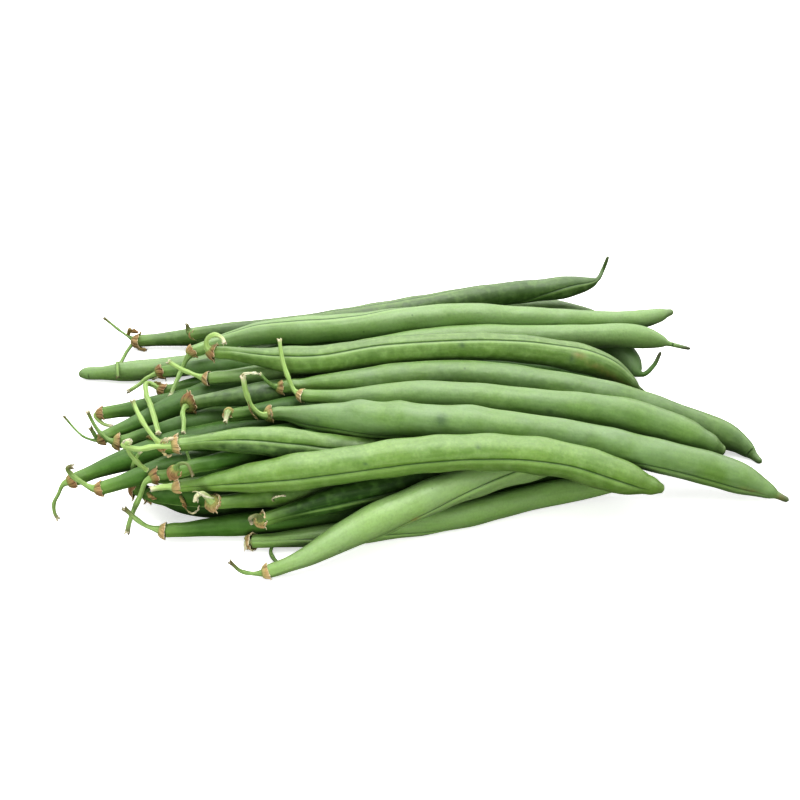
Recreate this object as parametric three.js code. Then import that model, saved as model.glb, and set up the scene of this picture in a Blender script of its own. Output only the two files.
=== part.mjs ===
import * as THREE from 'three';

// A loose heap of freshly picked green beans, all lying roughly the same way.
// Axes: +X runs from the stem ends to the tips, +Y from the front of the heap to its back, +Z up.
// Every bean is one body: its stem, its calyx, its pod and its pointed beak grew in one piece.

// Driving dimensions, in millimetres.
const SIDES = 10;
const STEM_RADIUS = 0.75;
const COLLAR_LENGTH = 3.4;
const COLLAR_RADIUS = 2.3;
const NECK_RADIUS = 1.75;
const SHOULDER_LENGTH = 26;
const BEAK_RADIUS = 0.75;
const BEAK_END_RADIUS = 0.4;
const CLEARANCE = 0.36;
const FLOOR_BITE = 0.04;

// Shares that shape a bean: how far the shoulder's rise reaches back before the neck, where a slim pod
// narrows, how full the tip's outline is, the stem's foot and the middle of the beak beside their usual
// radii, and the dome on the stem's free end.
const SHOULDER_LEAD = 0.35;
const SLIMMING = [0.45, 0.9];
const TIP_FULLNESS = 0.8;
const STEM_FOOT = 1.5;
const BEAK_MIDDLE = 0.8;
const STEM_END_DOME = 0.4;

// Where the front view is taken from. Beans settle along their sight lines, so the front keeps its pattern.
const FRONT_EYE = new THREE.Vector3(0, -268, 229);

// Rings along one bean: on the stem the share of its length and the swelling there, on the collar the share
// of its length, on the neck the distance past the collar in millimetres, and on the tip the share of its
// length. LEVEL_RING is the share of the rings at which a ring stands level, one of its sides facing down.
const STEM_RINGS = [[0, 1.105], [0.12, 1.3], [0.35, 1], [0.6, 1], [0.84, 1]];
const COLLAR_RING = 0.75;
const NECK_RINGS = [0, 6, 14];
const POD_MIDDLE_RINGS = 6;
const LEAST_MIDDLE = 4;
const TIP_RINGS = [0.4, 0.7, 0.9, 1];
const LEVEL_RING = 0.55;

// Settling: rounds of falling, rounds of easing back towards the sight lines, then rounds that only push
// apart.
const FALLING_ROUNDS = 360;
const EASING_ROUNDS = 240;
const RESTING_ROUNDS = 80;
const FALL_STEP = 0.05;
const EASING_FALL = 0.35;
const SIGHT_HOLD = 0.3;
const HOLD_FADE = 0.12;
const LEAST_WEIGHT_RADIUS = 2;
const STIFFNESS = 0.8;
const RESTING_STIFFNESS = 0.05;
const NEAR = 2.5;
const ROUNDS_PER_SEARCH = 12;
const OWN_SEGMENTS_APART = 5;

// Pod colours, from the light pods on top to the deep ones in the shade.
const SHADES = {
  pod_light: 0x9cc26a,
  pod_mid: 0x7fa858,
  pod_deep: 0x5c8a3c,
};

// Each row is one bean: its shade, its widest girth, the stem's course from the free end to the calyx, and
// the pod's course from the calyx to the end of the beak. tip is the length over which the pod narrows and
// beak the length of its slender point. seen lists the shares of the pod between which it shows in the front
// view, and [2, 2] marks a bean that is buried whole. slim is the share of the girth left near the tip,
// stalk the stem's radius where it isn't the usual one, and firm how little the bean gives way while the
// heap settles.
const BEANS = [
  // the long bean that lies in front of all the others
  {
    shade: 'pod_light', girth: 8.8, tip: 12, beak: 1.5, seen: [0, 1],
    stem: [[-59, -27.5, 15], [-55.5, -26.5, 15], [-53, -26.5, 15]],
    pod: [[-52, -26, 15], [-33, -26.5, 18.5], [-12, -24.5, 20.5], [12, -22, 22], [35.5, -21, 20],
      [48, -20.5, 15.5], [64, -19.5, 8]],
  },
  // the next one up, the longest of all, whose tip comes down to the table on the right
  {
    shade: 'pod_mid', girth: 8.5, tip: 14, beak: 3, firm: 4, seen: [0, 1],
    stem: [[-38.5, -1.5, 29], [-38, -2, 24], [-36.5, -3, 20], [-33.5, -3.5, 17.5]],
    pod: [[-32, -2.5, 17], [-12, -9.5, 20], [12, -13, 22], [36, -14, 20], [61, -14, 14], [84, -14, 6.5],
      [96, -17.5, 2.5]],
  },
  // behind it
  {
    shade: 'pod_mid', girth: 7.6, tip: 14, beak: 2.5, seen: [0, 1],
    stem: [[-30, 8.5, 33], [-29.5, 6.5, 29], [-28, 3.5, 25], [-26, 1, 22]],
    pod: [[-24, -0.5, 22], [-12.5, -3, 22.5], [12, -3.5, 23], [37, -4.5, 22], [60, -3.4, 17.8],
      [81.5, -5.5, 8]],
  },
  // the upper one of the two that reach far to the right
  {
    shade: 'pod_mid', girth: 7.8, tip: 14, beak: 2.5, seen: [0, 1],
    stem: [[-35, 3.5, 26], [-33.5, 3, 24], [-31.5, 3.5, 21.5]],
    pod: [[-29.5, 3.5, 21], [-12.5, 3, 23], [12.5, 6, 23.5], [37.5, 3, 22.5], [62.5, -0.5, 17],
      [76.5, 0.5, 11], [87, -1.5, 6.5], [91.5, -5.5, 4]],
  },
  // the arched one on the ridge, with a curled stem
  {
    shade: 'pod_light', girth: 7.4, tip: 13, beak: 2, seen: [0, 1],
    stem: [[-45, 16, 26], [-46, 18, 27], [-48.5, 18.5, 27], [-50, 18.5, 25], [-49.5, 18, 22.5]],
    pod: [[-48.5, 18, 22], [-26, 15.5, 20.5], [0, 17.5, 23], [26, 19.5, 22.5], [52.5, 18.5, 17.5],
      [64, 14.5, 11.5]],
  },
  // the long straight one along the back of the ridge
  {
    shade: 'pod_mid', girth: 7.3, tip: 14, beak: 2, slim: 0.72, seen: [0, 1],
    stem: [[-59.5, 10, 13], [-58.5, 15.5, 14], [-57, 20, 16], [-55.5, 21.5, 18.5]],
    pod: [[-54.5, 22.5, 19], [-39.5, 26, 21], [-20, 27, 21.5], [13.5, 31, 23.5], [40.5, 34, 21],
      [65.5, 40, 17], [75.5, 44.5, 16.5]],
  },
  // the two behind it
  {
    shade: 'pod_mid', girth: 6.5, tip: 11, beak: 8, stalk: 0.6, seen: [0.2, 1],
    stem: [[-59, 35, 20], [-58.5, 34.5, 17.5]],
    pod: [[-57.5, 33.5, 17], [-29, 28, 22.5], [0, 34.5, 23.5], [27.5, 45, 21.5], [48, 51, 20.5],
      [55.5, 54.5, 20.5], [57.5, 57.5, 22.5], [58.5, 58, 26]],
  },
  {
    shade: 'pod_mid', girth: 6.6, tip: 18, beak: 3, seen: [0, 1],
    stem: [[-82, 42.5, 16], [-78, 41, 13], [-74.5, 39, 11.5]],
    pod: [[-72.5, 38, 11], [-55, 39, 12], [-27.5, 41.5, 13], [0, 47.5, 12], [28.5, 53, 11], [59.5, 54, 9]],
  },
  // the pod under the ridge whose dark beak shows on the right
  {
    shade: 'pod_mid', girth: 6.8, tip: 10, beak: 6, seen: [0, 1],
    stem: [[-60.5, 18, 19], [-57, 16, 18], [-51, 13.5, 17]],
    pod: [[-49.5, 13, 17], [-31.5, 15.5, 17], [5.5, 29.5, 14], [44, 35, 13], [66.5, 39.5, 11],
      [80, 37.5, 9]],
  },
  // the ones at the left between the ridge and the front, from the back forwards
  {
    shade: 'pod_deep', girth: 6.8, tip: 8, beak: 8.5, stalk: 0.65, seen: [0, 0.25, 0.88, 1],
    stem: [[-72, 16.5, 10], [-69.5, 19.5, 10], [-66.5, 21.5, 11.5]],
    pod: [[-63, 23, 12], [-42.5, 21.5, 14], [0, 32.5, 12], [44, 36.5, 10], [61.5, 32.5, 9], [65, 26, 8.5],
      [67.5, 27, 9], [69, 28, 11], [70.5, 30, 13]],
  },
  {
    shade: 'pod_deep', girth: 7, tip: 16, beak: 4, slim: 0.85, seen: [0, 0.15],
    stem: [[-57.5, -17, 22], [-59.5, -10.5, 22], [-63, 1.5, 18], [-66, 12.5, 14], [-64.5, 17, 12]],
    pod: [[-61, 13.5, 12], [-45, 19, 11], [0, 28, 9], [46, 30, 7]],
  },
  {
    shade: 'pod_mid', girth: 5.7, tip: 18, beak: 1, seen: [0.75, 1],
    stem: [[37, 53, 4], [31, 52, 4]],
    pod: [[28.5, 51.5, 4], [-19.5, 42, 4], [-55.5, 33.5, 4], [-78.5, 31.5, 4], [-88.5, 33, 3.5]],
  },
  {
    shade: 'pod_deep', girth: 7.2, tip: 16, beak: 4, seen: [0, 0.2],
    stem: [[-74.5, 6, 7], [-77, 6.5, 7.5], [-79, 8.5, 8.5]],
    pod: [[-78, 8.5, 9], [-63, 11.5, 9], [-37.5, 20, 7], [0, 21, 5], [30, 22, 5]],
  },
  {
    shade: 'pod_mid', girth: 7.4, tip: 16, beak: 4, seen: [0, 0.3],
    stem: [[-52.5, -13, 20], [-53, -8, 20], [-54, -2, 19]],
    pod: [[-52.5, 1, 18.5], [-37, 3, 19], [-13, 13, 12.5], [20, 16, 11], [44, 14, 10.5], [62, 13, 9]],
  },
  {
    shade: 'pod_deep', girth: 7.6, tip: 16, beak: 4, seen: [0, 0.25],
    stem: [[-43, -7.5, 19], [-42.5, -3.5, 19.5]],
    pod: [[-42.5, -3.5, 18], [-35.5, 0.5, 16], [-13, 10, 11], [26.5, 12, 8], [53, 13, 6]],
  },
  {
    shade: 'pod_deep', girth: 7.4, tip: 16, beak: 4, seen: [0, 0.4],
    stem: [[-84.5, -1, 16], [-81, -3.5, 13], [-77, -6, 12]],
    pod: [[-74, -5, 12], [-61.5, 4.5, 12], [-44.5, 15, 11], [-5.5, 27, 9], [36, 33, 8]],
  },
  {
    shade: 'pod_deep', girth: 7.4, tip: 16, beak: 4, seen: [0, 0.35],
    stem: [[-76, -9, 24], [-74.5, -10, 20], [-71.5, -11.5, 17]],
    pod: [[-69, -11, 16], [-53, -8, 18], [-33, 3, 14], [0, 15, 11], [40, 17, 9]],
  },
  {
    shade: 'pod_light', girth: 8, tip: 16, beak: 4, slim: 0.7, seen: [0, 0.45],
    stem: [[-64.5, -17, 21], [-66, -18, 21], [-65, -18, 19.5], [-59, -16, 18.5], [-54.5, -15, 18]],
    pod: [[-53, -14.5, 18], [-34, -14, 18.5], [-16, -9, 12.5], [8, 0, 9], [34, 4, 8]],
  },
  {
    shade: 'pod_deep', girth: 7.6, tip: 16, beak: 4, seen: [0, 0.35],
    stem: [[-83, -25, 2.5], [-84.5, -23, 4], [-83.5, -23, 7], [-80.5, -21.5, 12]],
    pod: [[-79, -21, 12], [-66, -15, 13.5], [-45.5, -3, 11], [0, 11, 5], [32, 14, 5]],
  },
  {
    shade: 'pod_deep', girth: 7.4, tip: 16, beak: 4, seen: [0, 0.35],
    stem: [[-77, -25, 20], [-78, -25, 20], [-78, -24.5, 17], [-73, -25, 13]],
    pod: [[-71.5, -25, 13], [-58, -19.5, 14], [-37, -9.5, 11], [-15, 2, 8], [10, 7, 7], [38, 9, 7]],
  },
  {
    shade: 'pod_deep', girth: 5.8, tip: 16, beak: 4, slim: 0.75, seen: [0, 0.25],
    stem: [[-48.5, -27.5, 19], [-50, -25, 20.5], [-52.5, -23.5, 19]],
    pod: [[-53.5, -23, 16], [-39, -16, 13.5], [-22, -6, 9], [0, 1, 7], [20, 3, 7]],
  },
  {
    shade: 'pod_deep', girth: 6.6, tip: 16, beak: 4, seen: [0, 0.15],
    stem: [[-65.5, -30, 3], [-65, -27, 5], [-63, -25.5, 9], [-60, -23, 14.5]],
    pod: [[-58.5, -22, 14], [-43.5, -18, 11], [-15, -11, 7], [14, -8, 7], [34, -6, 7]],
  },
  {
    shade: 'pod_deep', girth: 7.2, tip: 16, beak: 4, seen: [0, 0.15],
    stem: [[-61, -22.5, 22], [-63, -22.5, 18], [-64, -21.5, 13]],
    pod: [[-63.5, -22.5, 11], [-49, -25, 9.5], [-28, -20, 8], [-2, -14, 7]],
  },
  {
    shade: 'pod_deep', girth: 7, tip: 16, beak: 4, seen: [0, 0.3],
    stem: [[-63.5, -16.5, 6], [-62.5, -17, 5]],
    pod: [[-61.5, -18.5, 5], [-48.5, -23, 4.5], [-22, -16, 4.5], [0, -6, 4.5], [20, -1, 4.5], [42, 1, 4.5]],
  },
  {
    shade: 'pod_mid', girth: 7.4, tip: 16, beak: 4, seen: [0, 0.3],
    stem: [[-48, -30.5, 14], [-47.5, -30, 16], [-46, -28.5, 14], [-45, -27.5, 11.5]],
    pod: [[-44.5, -26.5, 10], [-26.5, -22.5, 9], [0, -13, 4.5], [29.5, -8, 4], [55, -6, 4]],
  },
  {
    shade: 'pod_deep', girth: 7.4, tip: 16, beak: 4, seen: [0, 0.5],
    stem: [[-34.5, -36, 12], [-34.5, -37.5, 15], [-33, -35.5, 14], [-32.5, -34.5, 11.5]],
    pod: [[-32.5, -34, 11], [-12, -27, 12], [12, -16, 9.5], [37, -6, 7], [56, -2, 6]],
  },
  {
    shade: 'pod_deep', girth: 6.4, tip: 16, beak: 4, seen: [0, 0.35],
    stem: [[-66, -27.5, 9], [-61.5, -28.5, 4.5], [-57.5, -29, 3.2]],
    pod: [[-56.5, -29, 3], [-36, -25.5, 3.3], [-14.5, -21, 3.3], [7.5, -13, 3.3], [50, -7, 3.3]],
  },
  // under them, a light stem showing at the left
  {
    shade: 'pod_deep', girth: 6.4, tip: 16, beak: 4, seen: [0, 0.05],
    stem: [[-65.5, -5, 24], [-64.5, -7, 23], [-62, -11, 21], [-59, -14, 18.5]],
    pod: [[-57.5, -13.5, 16], [-37.5, -9.5, 11], [-20, -4, 8], [0, 3, 6], [30, 6, 5]],
  },
  // buried ones that carry the ridge
  {
    shade: 'pod_deep', girth: 6.8, tip: 16, beak: 4, seen: [2, 2],
    stem: [[-42, 26, 5], [-39, 27, 4.5]],
    pod: [[-36, 28, 4.5], [-10, 33, 4.5], [28, 36, 4.5], [60, 42, 4.5]],
  },
  {
    shade: 'pod_deep', girth: 7.6, tip: 16, beak: 4, seen: [2, 2],
    stem: [[-24, 18, 10], [-20, 18, 10.5]],
    pod: [[-17, 18, 10], [8, 22, 12], [30, 24, 12], [53, 24, 9]],
  },
  {
    shade: 'pod_deep', girth: 6.6, tip: 16, beak: 4, seen: [2, 2],
    stem: [[-52, 36, 10], [-49, 37, 10]],
    pod: [[-46, 38, 10], [-10, 42, 10], [24, 46, 10], [54, 50, 9]],
  },
  // the low one in front
  {
    shade: 'pod_mid', girth: 6.4, tip: 18, beak: 4, firm: 5, seen: [0, 1],
    stem: [[-36.5, -34, 1.5], [-36.5, -32.5, 2.5]],
    pod: [[-35, -33, 3], [-12, -30, 3.3], [12, -25, 3.3], [37, -16.5, 4], [60, -13, 4]],
  },
  // the front bean on the left, whose calyx end rests on the table
  {
    shade: 'pod_light', girth: 8.2, tip: 16, beak: 4, firm: 5, seen: [0, 0.8],
    stem: [[-39.5, -42.5, 6], [-36.5, -42.5, 2.5], [-32, -42.5, 2.3]],
    pod: [[-30.5, -42, 2.4], [-23.5, -40.5, 4.4], [-12, -35, 7.5], [12, -25, 13], [31.5, -16, 13.5],
      [50, -7.5, 12]],
  },
];

// Radius along the pod: a slim neck, a long shoulder, an even middle and a narrowing tip.
function podRadius(row, along, length) {
  const full = row.girth / 2;
  const rise = THREE.MathUtils.smoothstep(along, -SHOULDER_LENGTH * SHOULDER_LEAD, SHOULDER_LENGTH);
  const start = THREE.MathUtils.smoothstep(0, -SHOULDER_LENGTH * SHOULDER_LEAD, SHOULDER_LENGTH);
  const slimming = THREE.MathUtils.smoothstep(along / length, ...SLIMMING);
  const even = full * THREE.MathUtils.lerp(1, row.slim ?? 1, slimming);
  const shoulder = NECK_RADIUS + (even - NECK_RADIUS) * (rise - start) / (1 - start);
  const left = Math.max(0, length - along) / row.tip;
  const narrowing = left >= 1 ? 1 : Math.sin(left * Math.PI / 2) ** TIP_FULLNESS;
  return Math.max(BEAK_RADIUS, Math.min(shoulder, BEAK_RADIUS + (full - BEAK_RADIUS) * narrowing));
}

// Stations of one bean from the stem's free end to the beak's end: place, radius and share of the pod.
function layOut(row) {
  const asVectors = (points) => points.map((p) => new THREE.Vector3(...p));
  const stem = new THREE.CatmullRomCurve3(asVectors([...row.stem, row.pod[0]]), false, 'centripetal');
  const pod = new THREE.CatmullRomCurve3(asVectors(row.pod), false, 'centripetal');
  const stations = [];
  const stalk = row.stalk ?? STEM_RADIUS;
  for (const [share, swelling] of STEM_RINGS) {
    stations.push({ place: stem.getPointAt(share), radius: stalk * swelling, share: 0 });
  }
  const length = pod.getLength();
  const body = length - row.beak;
  const addAlong = (along, radius) => {
    stations.push({ place: pod.getPointAt(along / length), radius, share: along / length });
  };
  addAlong(0, stalk * STEM_FOOT);
  addAlong(COLLAR_LENGTH * COLLAR_RING, COLLAR_RADIUS);
  const start = COLLAR_LENGTH;
  const shoulderEnd = start + SHOULDER_LENGTH;
  const tipStart = Math.max(body - row.tip, shoulderEnd + LEAST_MIDDLE);
  const places = NECK_RINGS.map((past) => start + past);
  for (let i = 0; i <= POD_MIDDLE_RINGS; i += 1) {
    places.push(shoulderEnd + (tipStart - shoulderEnd) * i / POD_MIDDLE_RINGS);
  }
  for (const share of TIP_RINGS) {
    places.push(tipStart + (body - tipStart) * share);
  }
  for (const along of places) {
    addAlong(along, podRadius(row, along - start, body - start));
  }
  addAlong(body + row.beak / 2, BEAK_RADIUS * BEAK_MIDDLE);
  addAlong(length, BEAK_END_RADIUS);
  return stations;
}

// How firmly a station is held to its sight line: 1 where the bean shows, fading to 0 where it is buried.
function holdOf(row, station) {
  let nearest = 1;
  for (let i = 0; i < row.seen.length; i += 2) {
    nearest = Math.min(nearest, Math.max(row.seen[i] - station.share, station.share - row.seen[i + 1], 0));
  }
  return Math.max(0, 1 - nearest / HOLD_FADE);
}

function makeBean(row) {
  const stations = layOut(row);
  for (const station of stations) {
    station.home = station.place.clone();
    station.hold = holdOf(row, station);
    station.sight = station.home.clone().sub(FRONT_EYE).normalize();
    const fall = new THREE.Vector3(0, 0, -1).lerp(station.sight, station.hold);
    station.fall = fall.normalize().multiplyScalar(FALL_STEP);
    station.weight = Math.max(station.radius, LEAST_WEIGHT_RADIUS) ** 2 * (row.firm ?? 1);
  }
  return { row, stations };
}

// Closest points of two segments, as the share of the way along each.
function closestShares(a, b, c, d) {
  const along = b.clone().sub(a);
  const other = d.clone().sub(c);
  const between = a.clone().sub(c);
  const aa = along.dot(along);
  const ee = other.dot(other);
  const f = other.dot(between);
  const g = along.dot(between);
  const cross = along.dot(other);
  const spread = aa * ee - cross * cross;
  const limit = (value) => Math.min(1, Math.max(0, value));
  let s = spread > 1e-9 ? limit((cross * f - g * ee) / spread) : 0.5;
  let t = (cross * s + f) / ee;
  if (t < 0 || t > 1) {
    t = limit(t);
    s = limit((cross * t - g) / aa);
  }
  return [s, t];
}

// Pairs of segments near enough to touch soon. Segments of one bean count when they are far apart along it.
function nearPairs(beans, reach) {
  const segments = [];
  for (const bean of beans) {
    for (let i = 0; i + 1 < bean.stations.length; i += 1) {
      const from = bean.stations[i];
      const to = bean.stations[i + 1];
      const middle = from.place.clone().add(to.place).multiplyScalar(0.5);
      const size = from.place.distanceTo(to.place) / 2 + Math.max(from.radius, to.radius);
      segments.push({ bean, i, from, to, middle, size });
    }
  }
  const pairs = [];
  for (let i = 0; i < segments.length; i += 1) {
    for (let j = i + 1; j < segments.length; j += 1) {
      const one = segments[i];
      const two = segments[j];
      if (one.bean === two.bean && Math.abs(one.i - two.i) < OWN_SEGMENTS_APART) {
        continue;
      }
      if (one.middle.distanceTo(two.middle) < one.size + two.size + reach) {
        pairs.push([one, two]);
      }
    }
  }
  return pairs;
}

function pushApart(pairs) {
  for (const [one, two] of pairs) {
    const [s, t] = closestShares(one.from.place, one.to.place, two.from.place, two.to.place);
    const a = one.from.place.clone().lerp(one.to.place, s);
    const b = two.from.place.clone().lerp(two.to.place, t);
    const radii = THREE.MathUtils.lerp(one.from.radius, one.to.radius, s)
      + THREE.MathUtils.lerp(two.from.radius, two.to.radius, t);
    const apart = a.sub(b);
    const distance = apart.length();
    const overlap = radii + CLEARANCE - distance;
    if (overlap <= 0) {
      continue;
    }
    const shares = [[one.from, 1 - s, 1], [one.to, s, 1], [two.from, 1 - t, -1], [two.to, t, -1]];
    const total = shares.reduce((sum, [station, share]) => sum + share * share / station.weight, 0);
    apart.multiplyScalar(overlap / Math.max(distance, 1e-6) / total);
    for (const [station, share, sign] of shares) {
      station.place.addScaledVector(apart, sign * share / station.weight);
    }
  }
}

// A pod is stiff: a move of one station is shared with its neighbours.
function shareMoves(bean, amount) {
  const moves = bean.stations.map((station) => station.place.clone().sub(station.home));
  const last = moves.length - 1;
  for (let i = 0; i <= last; i += 1) {
    const before = moves[Math.max(0, i - 1)];
    const after = moves[Math.min(last, i + 1)];
    const mean = before.clone().add(after).multiplyScalar(0.5);
    bean.stations[i].place.copy(bean.stations[i].home).add(moves[i].clone().lerp(mean, amount));
  }
}

function holdToSight(bean) {
  for (const station of bean.stations) {
    const move = station.place.clone().sub(station.home);
    const across = move.clone().addScaledVector(station.sight, -move.dot(station.sight));
    station.place.addScaledVector(across, -SIGHT_HOLD * station.hold);
  }
}

function stayAboveTable(bean) {
  for (const station of bean.stations) {
    const lowest = station.radius * Math.cos(Math.PI / SIDES) - FLOOR_BITE;
    station.place.z = Math.max(station.place.z, lowest);
  }
}

function settle(beans) {
  let pairs = [];
  const rounds = FALLING_ROUNDS + EASING_ROUNDS + RESTING_ROUNDS;
  for (let round = 0; round < rounds; round += 1) {
    if (round % ROUNDS_PER_SEARCH === 0) {
      pairs = nearPairs(beans, NEAR);
    }
    const falling = round < FALLING_ROUNDS;
    const resting = round >= FALLING_ROUNDS + EASING_ROUNDS;
    for (const bean of beans) {
      if (!resting) {
        const amount = falling ? 1 : EASING_FALL;
        bean.stations.forEach((station) => station.place.addScaledVector(station.fall, amount));
        holdToSight(bean);
        shareMoves(bean, STIFFNESS);
        shareMoves(bean, STIFFNESS);
      } else {
        shareMoves(bean, RESTING_STIFFNESS);
      }
    }
    pushApart(pairs);
    beans.forEach(stayAboveTable);
  }
}

// Ring directions, carried along the bean from a level start in the middle of the pod.
function ringFrames(stations) {
  const count = stations.length;
  const tangents = stations.map((station, i) => {
    const from = stations[Math.max(0, i - 1)].place;
    const to = stations[Math.min(count - 1, i + 1)].place;
    return to.clone().sub(from).normalize();
  });
  const sides = new Array(count);
  const middle = Math.floor(count * LEVEL_RING);
  sides[middle] = new THREE.Vector3(0, 0, 1).cross(tangents[middle]).normalize();
  for (const step of [-1, 1]) {
    for (let i = middle + step; i >= 0 && i < count; i += step) {
      const side = sides[i - step].clone();
      side.addScaledVector(tangents[i], -side.dot(tangents[i]));
      sides[i] = side.normalize();
    }
  }
  return stations.map((station, i) => ({
    side: sides[i],
    up: tangents[i].clone().cross(sides[i]).normalize(),
    tangent: tangents[i],
  }));
}

// One closed skin over the rings. A side of each ring faces down, and nothing dips under the table.
function skin(stations) {
  const frames = ringFrames(stations);
  const points = [];
  const first = stations[0];
  const last = stations[stations.length - 1];
  points.push(first.place.clone().addScaledVector(frames[0].tangent, -first.radius * STEM_END_DOME));
  stations.forEach((station, ring) => {
    for (let k = 0; k < SIDES; k += 1) {
      const turn = -Math.PI / 2 + Math.PI * (2 * k + 1) / SIDES;
      const point = station.place.clone();
      point.addScaledVector(frames[ring].side, Math.cos(turn) * station.radius);
      point.addScaledVector(frames[ring].up, Math.sin(turn) * station.radius);
      points.push(point);
    }
  });
  points.push(last.place.clone().addScaledVector(frames[stations.length - 1].tangent, last.radius));
  points.forEach((point) => {
    point.z = Math.max(point.z, 0);
  });

  const faces = [];
  const at = (ring, k) => 1 + ring * SIDES + (k % SIDES);
  const end = points.length - 1;
  for (let k = 0; k < SIDES; k += 1) {
    faces.push(0, at(0, k + 1), at(0, k));
    for (let ring = 0; ring + 1 < stations.length; ring += 1) {
      faces.push(at(ring, k), at(ring, k + 1), at(ring + 1, k + 1));
      faces.push(at(ring, k), at(ring + 1, k + 1), at(ring + 1, k));
    }
    faces.push(end, at(stations.length - 1, k), at(stations.length - 1, k + 1));
  }
  const geometry = new THREE.BufferGeometry();
  geometry.setAttribute('position', new THREE.Float32BufferAttribute(points.flatMap((p) => p.toArray()), 3));
  geometry.setIndex(faces);
  geometry.computeVertexNormals();
  return geometry;
}

function buildBundle() {
  const materials = {};
  for (const [name, color] of Object.entries(SHADES)) {
    materials[name] = new THREE.MeshStandardMaterial({ name, color, roughness: 0.55 });
  }
  const beans = BEANS.map(makeBean);
  settle(beans);
  const bundle = new THREE.Group();
  bundle.name = 'green_bean_bundle';
  beans.forEach((bean, i) => {
    const mesh = new THREE.Mesh(skin(bean.stations), materials[bean.row.shade]);
    mesh.name = `bean_${String(i + 1).padStart(2, '0')}`;
    bundle.add(mesh);
  });
  const box = new THREE.Box3().setFromObject(bundle);
  const middle = box.getCenter(new THREE.Vector3());
  bundle.position.set(-middle.x, -middle.y, -box.min.z);
  return bundle;
}

export default buildBundle();
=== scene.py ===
"""A loose heap of freshly picked green beans, dressed over its solids. Metres throughout, +Z up."""
import math
import random

import bmesh
import bpy
import numpy as np
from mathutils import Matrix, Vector


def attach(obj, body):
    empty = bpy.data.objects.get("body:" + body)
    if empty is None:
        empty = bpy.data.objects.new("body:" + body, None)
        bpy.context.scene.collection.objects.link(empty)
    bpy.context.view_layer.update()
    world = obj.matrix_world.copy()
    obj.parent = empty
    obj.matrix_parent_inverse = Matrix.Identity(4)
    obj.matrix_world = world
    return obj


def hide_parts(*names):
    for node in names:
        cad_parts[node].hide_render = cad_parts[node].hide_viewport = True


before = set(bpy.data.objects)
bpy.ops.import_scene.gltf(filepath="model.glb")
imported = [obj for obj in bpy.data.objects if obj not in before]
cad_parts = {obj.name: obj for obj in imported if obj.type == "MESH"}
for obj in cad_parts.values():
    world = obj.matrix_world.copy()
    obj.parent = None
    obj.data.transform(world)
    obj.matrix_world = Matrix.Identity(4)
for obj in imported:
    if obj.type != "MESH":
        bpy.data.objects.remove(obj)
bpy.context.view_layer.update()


# Camera
# It stands in front of the heap, 34 cm from its middle, and looks 38 degrees down through a short
# telephoto lens, as the photograph was taken.
MM = 0.001
AIM = Vector((-3.61, -13.93, 20)) * MM
DOWN = math.radians(38)
DISTANCE = 340 * MM
camera = bpy.data.objects.new("camera", bpy.data.cameras.new("camera"))
camera.location = AIM + DISTANCE * Vector((0, -math.cos(DOWN), math.sin(DOWN)))
camera.rotation_euler = (math.pi / 2 - DOWN, 0, 0)
camera.data.lens = 61.2
camera.data.clip_start = 10 * MM
bpy.context.scene.collection.objects.link(camera)
bpy.context.scene.camera = camera


# Light
# A wide softbox hangs over the heap, a little behind it. A low one in front stands for the light that a pale
# floor throws back. The room is brightest behind the heap, which gives the pods their pale upper edges.
view = bpy.context.scene.view_settings
view.view_transform = "Standard"
# The middle tones are a little deeper than plain.
view.gamma = 0.8
view.exposure = 0.13


def add(tree, kind, links=(), **settings):
    """Adds a node. links pairs its inputs with sockets or plain values."""
    node = tree.nodes.new(kind)
    for name, value in settings.items():
        setattr(node, name, value)
    for name, value in dict(links).items():
        if isinstance(value, bpy.types.NodeSocket):
            tree.links.new(value, node.inputs[name])
        else:
            node.inputs[name].default_value = value
    return node


def softbox(name, place, size, watts, glare=True):
    """A square softbox that faces the heap. Without glare it isn't mirrored in the skins."""
    light = bpy.data.objects.new(name, bpy.data.lights.new(name, "AREA"))
    light.location = Vector(place)
    light.rotation_euler = (AIM - light.location).to_track_quat("-Z", "Y").to_euler()
    light.data.size = size
    light.data.energy = watts
    light.visible_glossy = glare
    bpy.context.scene.collection.objects.link(light)


softbox("light_overhead", (0.03, 0.08, 0.64), size=0.6, watts=2.3)
softbox("light_front", (-0.08, -0.75, 0.17), size=0.5, watts=4.7, glare=False)
# The room is almost dark in front and below, and grows bright upwards and towards the back.
room = bpy.data.worlds.new("bright_room")
room.use_nodes = True
sky = room.node_tree
toward = add(sky, "ShaderNodeSeparateXYZ", {0: add(sky, "ShaderNodeTexCoord").outputs["Generated"]})
height = add(sky, "ShaderNodeMapRange", {
    "Value": toward.outputs["Z"], "From Min": -0.05, "From Max": 0.15, "To Min": 0.02, "To Max": 0.55})
depth = add(sky, "ShaderNodeMapRange", {
    "Value": toward.outputs["Y"], "From Min": -1, "From Max": 1, "To Min": 0.02, "To Max": 3.6})
glow = add(sky, "ShaderNodeMath", {0: height.outputs[0], 1: depth.outputs[0]}, operation="MULTIPLY")
sky.links.new(glow.outputs[0], sky.nodes["Background"].inputs["Strength"])
sky.nodes["Background"].inputs["Color"].default_value = (1, 1, 1, 1)
bpy.context.scene.world = room


# Floor
# A sheet of matt white card, pressed smooth, lies under the heap and runs out of sight. It is set a little
# below the heap, so that the two never share a plane.
CARD_REACH = 6.0
CARD_BELOW = 0.2 * MM


def paint(code):
    """An sRGB hex colour as the linear colour that Blender's sockets hold."""
    parts = [int(code[i:i + 2], 16) / 255 for i in (1, 3, 5)]
    return tuple(c / 12.92 if c <= 0.04045 else ((c + 0.055) / 1.055) ** 2.4 for c in parts) + (1.0,)


def new_material(name):
    """An empty node material: its tree and its surface shader."""
    material = bpy.data.materials.new(name)
    material.use_nodes = True
    return material, material.node_tree, material.node_tree.nodes["Principled BSDF"]


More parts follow.
